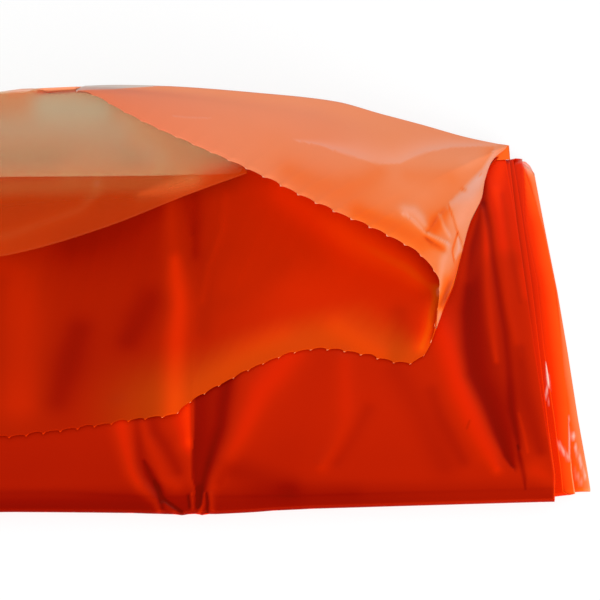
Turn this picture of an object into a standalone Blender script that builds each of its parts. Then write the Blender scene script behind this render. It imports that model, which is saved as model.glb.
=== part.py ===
# Survival bag, a long polythene tube closed by a heat seal at its foot and torn off along a perforation
# at its mouth. It lies as a flat pack: halved along its length, pleated to and fro into panels, with the
# mouth panel folded loosely back over the pack's far edge so that its two lips gape.
# X runs across the pack, +Y from its near fold to its far edge, +Z up. The pack lies on Z = 0 with its middle
# over the origin. Shapes are drawn from the near fold at Y = 0, and to_middle puts them there.
# All lengths are in metres.

import math

import bmesh
import bpy
from mathutils import Matrix, Vector

# The tube, halved along its length, and its pleats. An even number of panels has the mouth at the far edge.
tube_width = 0.900
pack_depth = 0.250
far_edge_slant = 0.026
panel_count = 6
bend_steps = 4

# One leaf is two films of the tube with the air between them. Each panel has a lower and an upper leaf.
leaf_thickness = 0.0008
leaf_gap = 0.0004
panel_gap = 0.0004
face_gap = 0.0003

# How far the panel on the table stands out to the right past the front panel, at the near fold and at the
# far edge, and how far the front panel's own right-hand edge leans in towards the far edge
fan_near = 0.025
fan_far = 0.018
edge_lean = 0.002

# Heat seal across the foot
seal_width = 0.012
seal_bead = 0.0025
seal_groove = 0.0004

# Torn perforation round the mouth
perforation_pitch = 0.0108
perforation_notch = 0.0011
points_per_notch = 3

# Loose films of the mouth. The rising film runs from the stack's far fold up to just under the crest.
film_thickness = 0.0008
film_clearance = 0.0006
crest_step = 0.0017
rise_play_back = 0.0020
rise_play_down = 0.0060
rise_starts_at = 0.10
rise_bow = 0.10
lower_lip_sag = 3.2
lower_lip_side_share = 0.24
inner_fold_starts_at = 0.45
inner_fold_hang = 0.004
upper_lip_crown = 0.006
upper_lip_crest_share = 0.68

# Hinge line of the upper lip, behind and above the line through the two ends of the crest over it
opening_hinge_back = 0.010
opening_hinge_up = 0.016

# Meshing
merge_distance = 0.00005
sharp_angle = math.radians(35)
hinge_mark = 0.02

# Curves of the mouth, as (inset from the right edge, distance from the far edge towards the near fold,
# height above the stack). A curve that runs on to the left-hand end takes its last point from pack_width.
crest_points = [
    (0.004, -0.008, 0.002),
    (0.035, -0.011, 0.011),
    (0.066, -0.016, 0.021),
    (0.094, -0.020, 0.030),
    (0.126, -0.025, 0.040),
    (0.181, -0.025, 0.054),
    (0.242, -0.027, 0.063),
    (0.294, -0.029, 0.064),
]
crest_left_end = (-0.024, 0.068)

side_fold_points = [
    (0.004, -0.008, 0.002),
    (0.017, 0.006, 0.006),
    (0.024, 0.023, 0.008),
    (0.028, 0.039, 0.010),
    (0.038, 0.060, 0.012),
    (0.045, 0.082, 0.013),
    (0.053, 0.108, 0.014),
    (0.065, 0.124, 0.014),
]

upper_lip_points = [
    (0.294, -0.023, 0.065),
    (0.256, 0.001, 0.062),
    (0.187, 0.037, 0.054),
    (0.143, 0.061, 0.047),
    (0.096, 0.082, 0.036),
    (0.075, 0.093, 0.028),
    (0.064, 0.107, 0.021),
    (0.065, 0.124, 0.014),
]

lower_lip_points = [
    (0.065, 0.124, 0.014),
    (0.069, 0.142, 0.006),
    (0.076, 0.154, 0.002),
    (0.087, 0.158, 0.001),
    (0.123, 0.148, 0.001),
    (0.150, 0.145, 0.001),
    (0.183, 0.155, 0.001),
    (0.218, 0.173, 0.001),
    (0.247, 0.188, 0.001),
    (0.335, 0.197, 0.001),
]
lower_lip_left_end = (0.203, 0.001)

inner_fold_points = [
    (0.187, 0.036, 0.048),
    (0.227, 0.046, 0.040),
    (0.282, 0.065, 0.034),
    (0.343, 0.080, 0.030),
]
inner_fold_left_end = (0.092, 0.028)

# Sizes that follow from those above
pack_width = tube_width / 2
front_edge = pack_width / 2
panel_pitch = 2 * leaf_thickness + leaf_gap + panel_gap
panel_height = 2 * leaf_thickness + leaf_gap
stack_height = panel_count * panel_pitch - panel_gap
fold_radius = panel_pitch - panel_gap / 2
to_middle = Matrix.Translation((0, -pack_depth / 2, 0))

# Where each hinge line stands, by the name of its empty
hinge_frames = {}


# Scene, materials and objects


def clear_scene():
    for thing in list(bpy.data.objects):
        bpy.data.objects.remove(thing, do_unlink=True)


def film_material(name, colour, roughness):
    material = bpy.data.materials.new(name)
    material.use_nodes = True
    shader = material.node_tree.nodes["Principled BSDF"]
    shader.inputs["Base Color"].default_value = (*colour, 1)
    shader.inputs["Roughness"].default_value = roughness
    shader.inputs["Metallic"].default_value = 0
    return material


def hinge(name, position, direction, parent=None):
    """An empty on a hinge line, its X along the line, which carries everything past that hinge."""
    empty = bpy.data.objects.new(name, None)
    empty.empty_display_size = hinge_mark
    turn = Vector(direction).to_track_quat("X", "Z").to_matrix().to_4x4()
    frame = to_middle @ Matrix.Translation(position) @ turn
    if parent is not None:
        empty.parent = parent
        empty.matrix_local = hinge_frames[parent.name].inverted() @ frame
    else:
        empty.matrix_local = frame
    bpy.context.collection.objects.link(empty)
    hinge_frames[name] = frame
    return empty


def add_piece(name, bm, material, parent=None):
    """Makes an object of a drawn mesh, with its origin on its parent's hinge line."""
    bm.transform(to_middle)
    if parent is not None:
        bm.transform(hinge_frames[parent.name].inverted())
    mesh = bpy.data.meshes.new(name)
    bm.to_mesh(mesh)
    bm.free()
    mesh.materials.append(material)
    mesh.shade_smooth()
    mesh.set_sharp_from_angle(angle=sharp_angle)
    piece = bpy.data.objects.new(name, mesh)
    piece.parent = parent
    bpy.context.collection.objects.link(piece)
    return piece


# Pleated panels


def right_edge(panel, y):
    """The right-hand edge of a panel. The panels fan out, and the one on the table stands out furthest."""
    fan = (panel_count - panel) / (panel_count - 1)
    near = front_edge + fan * fan_near
    far = front_edge - edge_lean + fan * fan_far
    return near + (far - near) * y / pack_depth


def far_edge(x):
    """The far edge of the stack, where the pleats turn a little askew of the near fold."""
    return pack_depth + far_edge_slant * x


def panel_floor(panel):
    return (panel - 1) * panel_pitch


def fold_height(fold):
    """Height of the hinge line between panel number fold and the next one up."""
    return panel_floor(fold) + fold_radius


def fold_is_near(fold):
    return fold % 2 == 1


def quarter_turn(centre_y, centre_z, radius, side, up):
    """Points of a leaf's bend, from level with the leaf round to just short of the hinge plane."""
    last = math.pi / 2 - math.asin(min(1, face_gap / 2 / radius))
    points = []
    for i in range(bend_steps + 1):
        angle = last * i / bend_steps
        points.append((centre_y + side * radius * math.sin(angle), centre_z - up * radius * math.cos(angle)))
    return points


def leaf_end(panel, low, high, near, up):
    """One end of a leaf's section, from its outer surface round to its inner one.
    A leaf bends up round the fold to the next panel, or down round the fold to the one below."""
    hinge_z = fold_height(panel) if up > 0 else fold_height(panel - 1)
    side = -1 if near else 1
    centre_y = fold_radius if near else pack_depth - fold_radius
    outer = abs(hinge_z - (low if up > 0 else high))
    inner = abs(hinge_z - (high if up > 0 else low))
    bend = quarter_turn(centre_y, hinge_z, outer, side, up)
    return bend + quarter_turn(centre_y, hinge_z, inner, side, up)[::-1]


def leaf_section(panel, low, high):
    """A leaf's outline in Y and Z: flat, with a bend at each end where the tube goes on to the next panel."""
    up_is_near = fold_is_near(panel)
    points = []
    for near in (True, False):
        up = 1 if near == up_is_near else -1
        if panel == 1 and not near:
            end = pack_depth - seal_width - face_gap
            bend = [(end, low), (end, high)]
        else:
            bend = leaf_end(panel, low, high, near, up)
            if up < 0:
                bend = bend[::-1]
        points += bend[::-1] if near else bend
    return points


def swept_piece(name, section, panel, material, parent):
    """A section in Y and Z drawn out across the pack, from the panel's left-hand edge to its right."""
    bm = bmesh.new()
    left = [bm.verts.new((right_edge(panel, y) - pack_width, y, z)) for y, z in section]
    end = bm.faces.new(left)
    drawn = bmesh.ops.extrude_face_region(bm, geom=[end])
    moved = [item for item in drawn["geom"] if isinstance(item, bmesh.types.BMVert)]
    bmesh.ops.translate(bm, vec=(pack_width, 0, 0), verts=moved)
    for vert in bm.verts:
        vert.co.y *= far_edge(vert.co.x) / pack_depth
    bmesh.ops.recalc_face_normals(bm, faces=bm.faces)
    return add_piece(name, bm, material, parent)


def seal_section():
    """The foot's heat seal: the two leaves pressed together, with two beads where the hot bar stopped."""
    start = pack_depth - seal_width
    pressed = panel_height - seal_groove
    return [
        (start, 0),
        (pack_depth, 0),
        (pack_depth, pressed),
        (pack_depth - seal_bead, pressed),
        (pack_depth - seal_bead - seal_groove, panel_height),
        (pack_depth - 2 * seal_bead, panel_height),
        (pack_depth - 2 * seal_bead - seal_groove, pressed),
        (start + seal_bead + seal_groove, pressed),
        (start + seal_bead, panel_height),
        (start, panel_height),
    ]


def fold_hinge(name, fold, parent):
    """The hinge between panel number fold and what lies on it."""
    edge = 0 if fold_is_near(fold) else pack_depth
    along = (1, 0, 0) if fold_is_near(fold) else (-1, -far_edge_slant, 0)
    return hinge(name, (0, edge, fold_height(fold)), along, parent)


def build_stack(materials):
    """The panels, from the foot on the table to the front panel on top. Returns the hinge of the top one."""
    parent = None
    for panel in range(1, panel_count + 1):
        if panel > 1:
            parent = fold_hinge(f"fold_{panel - 1}_axis", panel - 1, parent)
        low = panel_floor(panel)
        high = low + leaf_thickness
        lower = leaf_section(panel, low, high)
        swept_piece(f"panel_{panel}_lower_leaf", lower, panel, materials["deep"], parent)
        low = high + leaf_gap
        high = low + leaf_thickness
        upper = leaf_section(panel, low, high)
        top = materials["front"] if panel == panel_count else materials["deep"]
        swept_piece(f"panel_{panel}_upper_leaf", upper, panel, top, parent)
        if panel == 1:
            swept_piece("foot_seal", seal_section(), panel, materials["seal"], parent)
    return parent


# Loose films of the mouth


def mouth_place(inset, forward, height):
    """A point of the mouth in world coordinates."""
    x = front_edge - inset
    return Vector((x, far_edge(x) - forward, stack_height + height))


def smooth_curve(points):
    """A curve through the points, as a function of the share of its length."""
    spots = [mouth_place(*point) for point in points]
    knots = [0.0]
    for a, b in zip(spots, spots[1:]):
        knots.append(knots[-1] + (b - a).length)
    slopes = []
    for i in range(len(spots)):
        first = max(i - 1, 0)
        last = min(i + 1, len(spots) - 1)
        slopes.append((spots[last] - spots[first]) / (knots[last] - knots[first]))

    def at(share):
        along = share * knots[-1]
        i = 0
        while i < len(spots) - 2 and knots[i + 1] < along:
            i += 1
        span = knots[i + 1] - knots[i]
        t = (along - knots[i]) / span
        a = 2 * t**3 - 3 * t**2 + 1
        b = t**3 - 2 * t**2 + t
        c = -2 * t**3 + 3 * t**2
        d = t**3 - t**2
        return a * spots[i] + b * span * slopes[i] + c * spots[i + 1] + d * span * slopes[i + 1]

    at.length = knots[-1]
    return at


def joined(first, second, split):
    """One curve after another, which meet at the given share."""

    def at(share):
        if share < split:
            return first(share / split)
        return second((share - split) / (1 - split))

    return at


def backwards(curve):
    def at(share):
        return curve(1 - share)

    return at


def tips_on(curve):
    return round(curve.length / perforation_pitch)


def torn_edge(curve, share):
    """How far the film stands back from the line through the perforation's tips."""
    return perforation_notch * math.sin(math.pi * (share * tips_on(curve) % 1))


def film_sheet(name, inner, outer, shape, material, parent, columns=16, rows=6, torn=None):
    """A film between two curves. shape moves a point, given its place, its column share and its row share."""
    bm = bmesh.new()
    bmesh.ops.create_grid(bm, x_segments=columns, y_segments=rows, size=0.5)
    for vert in bm.verts:
        u = min(max(vert.co.x + 0.5, 0), 1)
        v = min(max(vert.co.y + 0.5, 0), 1)
        start = inner(u)
        end = outer(u)
        if torn is not None and (end - start).length > perforation_pitch:
            end = end - (end - start).normalized() * torn_edge(torn, u)
        vert.co = shape(start.lerp(end, v), u, v)
    bmesh.ops.remove_doubles(bm, verts=bm.verts, dist=merge_distance)
    bmesh.ops.recalc_face_normals(bm, faces=bm.faces)
    piece = add_piece(name, bm, material, parent)
    wall = piece.modifiers.new("film", "SOLIDIFY")
    wall.thickness = film_thickness
    wall.offset = 0
    return piece


def mouth_hinges(front_panel):
    """The mouth turns back on the stack's top far fold, and the upper lip lifts on a line over the crest."""
    fold = fold_hinge("mouth_fold_axis", panel_count, front_panel)
    right = mouth_place(*crest_points[0])
    left = mouth_place(*crest_points[-1])
    out = Vector((0, opening_hinge_back, opening_hinge_up))
    return fold, hinge("mouth_opening_axis", right + out, left - right, fold)


def build_rise(crest, material, parent):
    """The film that goes up from the stack's far fold, bowed outwards, to just under the crest."""

    def top(share):
        under = Vector((0, -rise_play_back, -rise_play_down))
        return crest(rise_starts_at + (1 - rise_starts_at) * share) + under

    def foot(share):
        x = top(share).x
        above_fold = (face_gap + film_thickness) / 2
        return Vector((x, far_edge(x) - film_thickness / 2, fold_height(panel_count) + above_fold))

    def bowed(spot, u, v):
        height = max(spot.z - stack_height, 0)
        return spot + Vector((0, rise_bow * height * math.sin(math.pi * v), 0))

    film_sheet("loose_top_fold", foot, top, bowed, material, parent, columns=20)


def build_lower_lip(crest, side_fold, material, parent):
    """From under the side fold and the crest down on to the front panel, which the lip lies on."""
    lower_lip = smooth_curve(lower_lip_points + [(pack_width, *lower_lip_left_end)])
    top_edge = joined(backwards(side_fold), crest, lower_lip_side_share)
    under_crest = Vector((0, 0, -2 * crest_step))
    lying = stack_height + film_clearance + film_thickness / 2

    def sagging(spot, u, v):
        top = top_edge(u) + under_crest
        edge = max(lower_lip(u).z + under_crest.z, lying)
        return Vector((spot.x, spot.y, max(edge + (top.z - edge) * (1 - v) ** lower_lip_sag, lying)))

    columns = tips_on(lower_lip) * points_per_notch
    film_sheet("mouth_lower_lip", top_edge, lower_lip, sagging, material, parent, columns, rows=8,
               torn=lower_lip)


def build_inner_fold(crest, material, parent):
    """The films between the lips, which hang from the crest at the left."""
    inner_fold = smooth_curve(inner_fold_points + [(pack_width, *inner_fold_left_end)])

    def top(share):
        return crest(inner_fold_starts_at + (1 - inner_fold_starts_at) * share) + Vector((0, 0, -crest_step))

    def hanging(spot, u, v):
        return spot - Vector((0, 0, inner_fold_hang * math.sin(math.pi * v)))

    film_sheet("mouth_inner_fold", top, inner_fold, hanging, material, parent)


def build_upper_lip(side_fold, material, parent):
    """From the crest and the side fold to the torn edge that stands open."""
    upper_lip = smooth_curve(upper_lip_points)
    back_edge = joined(backwards(smooth_curve(crest_points)), side_fold, upper_lip_crest_share)

    def crowned(spot, u, v):
        return spot + Vector((0, 0, upper_lip_crown * math.sin(math.pi * v) * math.sin(math.pi * u)))

    columns = tips_on(upper_lip) * points_per_notch
    film_sheet("mouth_upper_lip", back_edge, upper_lip, crowned, material, parent, columns, torn=upper_lip)


def build_mouth(materials, front_panel):
    crest = smooth_curve(crest_points + [(pack_width, *crest_left_end)])
    side_fold = smooth_curve(side_fold_points)
    fold, opening = mouth_hinges(front_panel)
    build_rise(crest, materials["deep"], fold)
    build_lower_lip(crest, side_fold, materials["mouth"], fold)
    build_inner_fold(crest, materials["haze"], fold)
    build_upper_lip(side_fold, materials["mouth"], opening)


def main():
    clear_scene()
    materials = {
        "deep": film_material("folded_film", (0.55, 0.035, 0.004), 0.32),
        "front": film_material("front_film", (0.62, 0.050, 0.005), 0.28),
        "mouth": film_material("single_film", (0.86, 0.22, 0.06), 0.25),
        "haze": film_material("hazy_inner_film", (0.52, 0.36, 0.20), 0.35),
        "seal": film_material("heat_seal", (0.48, 0.030, 0.004), 0.45),
    }
    front_panel = build_stack(materials)
    build_mouth(materials, front_panel)


main()
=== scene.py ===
import math

import bmesh
import bpy
import numpy as np
from mathutils import Matrix, Vector


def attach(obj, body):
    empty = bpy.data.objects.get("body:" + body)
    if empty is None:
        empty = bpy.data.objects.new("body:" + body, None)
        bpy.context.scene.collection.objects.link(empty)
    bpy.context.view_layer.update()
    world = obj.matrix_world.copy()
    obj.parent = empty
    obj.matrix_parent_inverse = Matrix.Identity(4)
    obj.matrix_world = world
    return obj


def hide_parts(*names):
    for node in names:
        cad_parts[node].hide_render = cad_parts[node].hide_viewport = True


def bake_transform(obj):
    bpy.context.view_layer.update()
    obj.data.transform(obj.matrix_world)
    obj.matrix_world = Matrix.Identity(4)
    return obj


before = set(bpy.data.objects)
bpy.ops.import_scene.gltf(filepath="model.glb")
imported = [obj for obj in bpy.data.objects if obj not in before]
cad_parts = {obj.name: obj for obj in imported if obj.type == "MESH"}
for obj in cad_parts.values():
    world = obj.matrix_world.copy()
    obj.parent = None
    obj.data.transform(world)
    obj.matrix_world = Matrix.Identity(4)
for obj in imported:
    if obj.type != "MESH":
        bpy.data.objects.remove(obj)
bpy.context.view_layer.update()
print("survival bag: the packed frame is loaded")

# the tube halved and pleated, in metres as in the CAD part; y 0 is the middle of the pack
pack = {
    "width": 0.450,
    "depth": 0.250,
    "slant": 0.026,      # how much the far edge turns askew
    "panels": 6,
    "pitch": 0.0024,     # from one panel to the next one up
    "leafGap": 0.0012,   # between the two leaves of a panel
    "stack": 0.0140,     # height of the whole pile
    "base": 0.0004,      # height of the lowest leaf
    "hinge": 0.0022,     # height of the lowest fold's hinge line
    "wall": 0.0003,      # shown thickness of a film
    "merge": 0.00002,    # points nearer than this become one
    "outerBend": 0.0018,
    "innerBend": 0.0006,
}
frontEdge = pack["width"] / 2
nearEdge = -pack["depth"] / 2


# small maths, all on whole arrays of points

# goes smoothly from 0 at low to 1 at high, which may lie the other way round
def ease(low, high, value):
    share = np.clip((value - low) / (high - low), 0, 1)
    return share * share * (3 - 2 * share)


# an amount that comes in from low to high; in what follows a zone is (low, high), a part (amount, low, high)
def grow(part, value):
    amount, low, high = part
    return amount * ease(low, high, value)


# 1 where value has passed through every one of the zones
def within(zones, value):
    return math.prod(ease(*zone, value) for zone in zones)


def between(a, b, share):
    share = np.asarray(share, float)
    if np.ndim(a) > 1 or np.ndim(b) > 1:
        share = share[..., None]
    return a + (b - a) * share


def unit(vectors):
    return vectors / np.maximum(np.linalg.norm(vectors, axis=-1, keepdims=True), 1e-9)


def farEdge(x):
    return nearEdge + pack["depth"] + pack["slant"] * x


# the stack's far edge as it lies, a little bowed from the straight fold line
def stackEdge(x):
    bow = [(-0.227, 0.003), (-0.128, 0.002), (-0.092, 0.0004), (-0.065, -0.0008), (-0.03, -0.0022),
           (0.005, -0.0034), (0.05, -0.003), (0.12, -0.001), (0.17, 0), (0.221, 0), (0.229, 0.0016)]
    return farEdge(x) + np.interp(x, *np.transpose(bow))


# one soft mark: its line seen from above and its half width there, in millimetres, then what it changes
def mark(along, wide, **gains):
    return {"along": along, "wide": wide, **gains}


# adds up marks; a "left" or "right" one is soft on that side of its line and sharp on the other
def strokes(marks, x, y, key):
    total = np.zeros_like(x)
    for one in marks:
        gain = one.get(key, 0)
        if not gain:
            continue
        line = np.array(one["along"], float) / 1000
        steps = np.linspace(0, 1, len(one["wide"]))
        wide = np.interp(np.linspace(0, 1, len(line)), steps, one["wide"]) / 1000
        best = np.full(x.shape, 1e9)
        side = np.zeros_like(x)
        for i in range(len(line) - 1):
            run = line[i + 1] - line[i]
            share = np.clip(((x - line[i, 0]) * run[0] + (y - line[i, 1]) * run[1]) / (run @ run), 0, 1)
            dx = x - line[i, 0] - share * run[0]
            dy = y - line[i, 1] - share * run[1]
            far = np.hypot(dx, dy) / (wide[i] + (wide[i + 1] - wide[i]) * share)
            turned = np.sign(run[0] * dy - run[1] * dx)
            side = np.where(far < best, turned, side)
            best = np.minimum(best, far)
        shape = one.get("shape", "soft")
        sharp = one.get("sharp", 12)    # how many times sharper the other side is
        if shape == "soft":
            total += gain * np.exp(-best ** 2)
        elif shape == "ridge":
            total += gain * np.exp(-best)
        elif shape == "left":
            total += gain * np.where(side > 0, np.exp(-best ** 2), np.exp(-(best * sharp) ** 2))
        else:
            total += gain * np.where(side < 0, np.exp(-best ** 2), np.exp(-(best * sharp) ** 2))
    return total


# a smooth curve through given points, asked by its share of the way
def curveThrough(spots):
    spots = np.array(spots, float)
    knots = np.concatenate([[0], np.cumsum(np.linalg.norm(np.diff(spots, axis=0), axis=1))])
    last = len(spots) - 1
    before = np.maximum(np.arange(last + 1) - 1, 0)
    after = np.minimum(np.arange(last + 1) + 1, last)
    slopes = (spots[after] - spots[before]) / (knots[after] - knots[before])[:, None]

    def at(share):
        along = np.clip(share, 0, 1) * knots[-1]
        i = np.clip(np.searchsorted(knots, along, side="right") - 1, 0, last - 1)
        span = (knots[i + 1] - knots[i])[:, None]
        t = ((along - knots[i]) / span[:, 0])[:, None]
        return (
            (2 * t**3 - 3 * t**2 + 1) * spots[i]
            + (t**3 - 2 * t**2 + t) * span * slopes[i]
            + (3 * t**2 - 2 * t**3) * spots[i + 1]
            + (t**3 - t**2) * span * slopes[i + 1]
        )

    at.length = knots[-1]
    return at


def mouthPlace(inset, forward, height):
    x = frontEdge - inset
    return x, farEdge(x) - forward, pack["stack"] + height


def mouthCurve(points):
    return curveThrough([mouthPlace(*point) for point in points])


def newObject(name, data):
    thing = bpy.data.objects.new(name, data)
    bpy.context.scene.collection.objects.link(thing)
    return thing


# materials

def linear(colour):
    parts = [int(colour[i:i + 2], 16) / 255 for i in (1, 3, 5)]
    return [c / 12.92 if c <= 0.04045 else ((c + 0.055) / 1.055) ** 2.4 for c in parts] + [1]


def emptyTree(owner):
    owner.use_nodes = True
    owner.node_tree.nodes.clear()
    return owner.node_tree


def addNode(tree, kind, values=None, links=None, **settings):
    node = tree.nodes.new("ShaderNode" + kind)
    for name, value in settings.items():
        setattr(node, name, value)
    for name, value in (values or {}).items():
        node.inputs[name].default_value = value
    for name, socket in (links or {}).items():
        tree.links.new(socket, node.inputs[name])
    return node


# fine lines that the die leaves along the tube, drawn about a millimetre apart so that they show
dieLines = {"scale": 900, "alongTube": 0.04, "share": 0.08}


def blownFilm(look):
    material = bpy.data.materials.new(look["name"])
    tree = emptyTree(material)
    where = addNode(tree, "TexCoord")
    tone = addNode(tree, "Attribute", attribute_name="tone")
    cloud = addNode(tree, "TexNoise", {"Scale": 1000 / look["cloudSize"], "Detail": 3},
                    {"Vector": where.outputs["Object"]})
    shift = addNode(tree, "Math", {1: 0.5}, {0: cloud.outputs["Fac"]}, operation="SUBTRACT")
    mixed = addNode(tree, "Math", {1: look["cloudy"]},
                    {0: shift.outputs[0], 2: tone.outputs["Fac"]}, operation="MULTIPLY_ADD")
    ramp = addNode(tree, "ValToRGB", None, {"Fac": mixed.outputs[0]})
    stops = ramp.color_ramp.elements    # the ramp starts with its two ends, so a look gives those first
    for i, (spot, colour) in enumerate(look["tones"]):
        stop = stops[i] if i < 2 else stops.new(spot)
        stop.position = spot
        stop.color = linear(colour)
    # pale mixes in a colour of its own: painted glints and sheen on some films, pale torn tips and an orange
    # torn edge on others
    pale = addNode(tree, "Attribute", attribute_name="pale")
    whole = addNode(tree, "Mix", {7: linear(look["paleMix"])},
                    {0: pale.outputs["Fac"], 6: ramp.outputs["Color"]}, data_type="RGBA")
    stretch = addNode(tree, "Mapping", {"Scale": (1, dieLines["alongTube"], 1)},
                      {"Vector": where.outputs["Object"]})
    lines = addNode(tree, "TexNoise", {"Scale": dieLines["scale"], "Detail": 2},
                    {"Vector": stretch.outputs[0]})
    creep = addNode(tree, "TexNoise", {"Scale": 1000 / look["crinkleSize"], "Detail": 4},
                    {"Vector": where.outputs["Object"]})
    both = addNode(tree, "Math", {1: dieLines["share"]},
                   {0: lines.outputs["Fac"], 2: creep.outputs["Fac"]}, operation="MULTIPLY_ADD")
    bump = addNode(tree, "Bump", {"Strength": look["crinkle"], "Distance": 0.001},
                   {"Height": both.outputs[0]})
    shader = addNode(tree, "BsdfPrincipled", {
        "Roughness": look["roughness"],
        "IOR": 1.51,
        "Specular IOR Level": look["gloss"],
        "Specular Tint": linear(look["glossTint"]),
    }, {"Base Color": whole.outputs[2], "Normal": bump.outputs[0]})
    surface = shader
    if "body" in look:
        clear = addNode(tree, "BsdfTransparent", {"Color": linear(look["through"])})
        dense = addNode(tree, "Attribute", attribute_name="dense")
        share = addNode(tree, "Math", {1: 1 - look["body"], 2: look["body"]},
                        {0: dense.outputs["Fac"]}, operation="MULTIPLY_ADD")
        surface = addNode(tree, "MixShader", None,
                          {0: share.outputs[0], 1: clear.outputs[0], 2: shader.outputs[0]})
    addNode(tree, "OutputMaterial", None, {"Surface": surface.outputs[0]})
    return material


# what the films share; sizes are in millimetres
filmLook = {
    "cloudSize": 60,
    "cloudy": 0.06,
    "crinkleSize": 14,
    "crinkle": 0.10,
    "roughness": 0.30,
    "gloss": 0.25,
    "glossTint": "#ff6030",
}
# blown low-density polythene, many layers deep: saturated red-orange, soft gloss
layeredFilm = blownFilm({
    **filmLook,
    "name": "blown LDPE film in layers",
    "tones": [(0.0, "#6e0500"), (1.0, "#ff8c5a"), (0.2, "#8c0800"), (0.4, "#a81600"), (0.55, "#be1e00"),
              (0.7, "#da2200"), (0.82, "#f52e00"), (0.92, "#fe5a14")],
    "paleMix": "#ffd2c4",
})
# the inside of the mouth, one film on many: a little more orange
insideFilm = blownFilm({
    **filmLook,
    "name": "blown LDPE film inside",
    "tones": [(0.0, "#780600"), (1.0, "#ffa27a"), (0.2, "#961000"), (0.4, "#ac1c00"), (0.55, "#c22200"),
              (0.7, "#da2800"), (0.82, "#ea3400"), (0.92, "#ee5a00")],
    "paleMix": "#ffa020", "cloudy": 0.05, "crinkle": 0.08,
    "roughness": 0.34, "gloss": 0.20, "body": 0.15, "through": "#f7faee",
})
# the same film one layer thick: lets light through, so it looks peach; the palest tones at the top of its
# ramp are painted sheen
singleLook = {
    **filmLook,
    "name": "blown LDPE film single",
    "tones": [(0.0, "#c83c00"), (1.0, "#dccfc6"), (0.15, "#f25a06"), (0.3, "#f66c20"), (0.45, "#f27c40"),
              (0.6, "#f28e5e"), (0.75, "#f49a74"), (0.9, "#eea890")],
    "paleMix": "#ffc8a8", "cloudSize": 45, "crinkleSize": 12,
    "gloss": 0.35, "glossTint": "#ffd0b0", "body": 0.86, "through": "#ffb080",
}
singleFilm = blownFilm(singleLook)
# one film that stands in the air, so that the ground behind shows through
looseFilm = blownFilm({
    **singleLook,
    "name": "blown LDPE film loose",
    "tones": [(0.0, "#c83c00"), (1.0, "#dccfc6"), (0.15, "#f25a06"), (0.3, "#f66c20"), (0.6, "#f28e5e"),
              (0.8, "#f49a74")],
    "body": 0.20, "through": "#f7faee",
})
# two films with air between them, seen against the light, partly see-through; its tan and pale colours paint
# the sheen on it and the shaded ground behind it
hazeAndSheenFilm = blownFilm({
    **filmLook,
    "name": "blown LDPE film hazy with painted sheen",
    "tones": [(0.0, "#8a3a10"), (1.0, "#f0a888"), (0.3, "#dc4000"), (0.5, "#f0500a"), (0.75, "#f47838")],
    "paleMix": "#cdada0", "cloudSize": 40, "cloudy": 0.08, "crinkleSize": 16,
    "roughness": 0.38, "glossTint": "#ffe0c8", "body": 0.25, "through": "#f7faee",
})
# pressed by a hot bar: satin, a little darker
sealedFilm = blownFilm({
    **filmLook,
    "name": "heat-sealed LDPE film",
    "tones": [(0.0, "#5c0a00"), (1.0, "#e0501c"), (0.5, "#a81800")],
    "paleMix": "#ffb487", "cloudSize": 30, "cloudy": 0.10, "crinkleSize": 4, "crinkle": 0.3,
    "roughness": 0.5, "gloss": 0.3,
})
print("survival bag: materials made")


# a grid whose points "place" puts where the film lies, with its tone, and a thin wall
def layFilm(name, columns, rows, place, material, wall=None):
    bm = bmesh.new()
    bmesh.ops.create_grid(bm, x_segments=columns, y_segments=rows, size=0.5)
    flat = np.array([vert.co for vert in bm.verts])
    spots, marks = place(np.clip(flat[:, 0] + 0.5, 0, 1), np.clip(flat[:, 1] + 0.5, 0, 1))
    layers = {key: bm.verts.layers.float.new(key) for key in ("tone", "pale", "dense")}
    for i, vert in enumerate(bm.verts):
        vert.co = spots[i]
        for key, layer in layers.items():
            vert[layer] = float(marks[key][i]) if key in marks else 0.0
    bmesh.ops.remove_doubles(bm, verts=bm.verts, dist=pack["merge"])
    bmesh.ops.recalc_face_normals(bm, faces=bm.faces)
    mesh = bpy.data.meshes.new(name)
    bm.to_mesh(mesh)
    bm.free()
    mesh.materials.append(material)
    mesh.shade_smooth()
    piece = newObject(name, mesh)
    skin = piece.modifiers.new("film wall", "SOLIDIFY")
    skin.thickness = wall or pack["wall"]
    skin.offset = 0
    return piece


# the pleated stack

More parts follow.
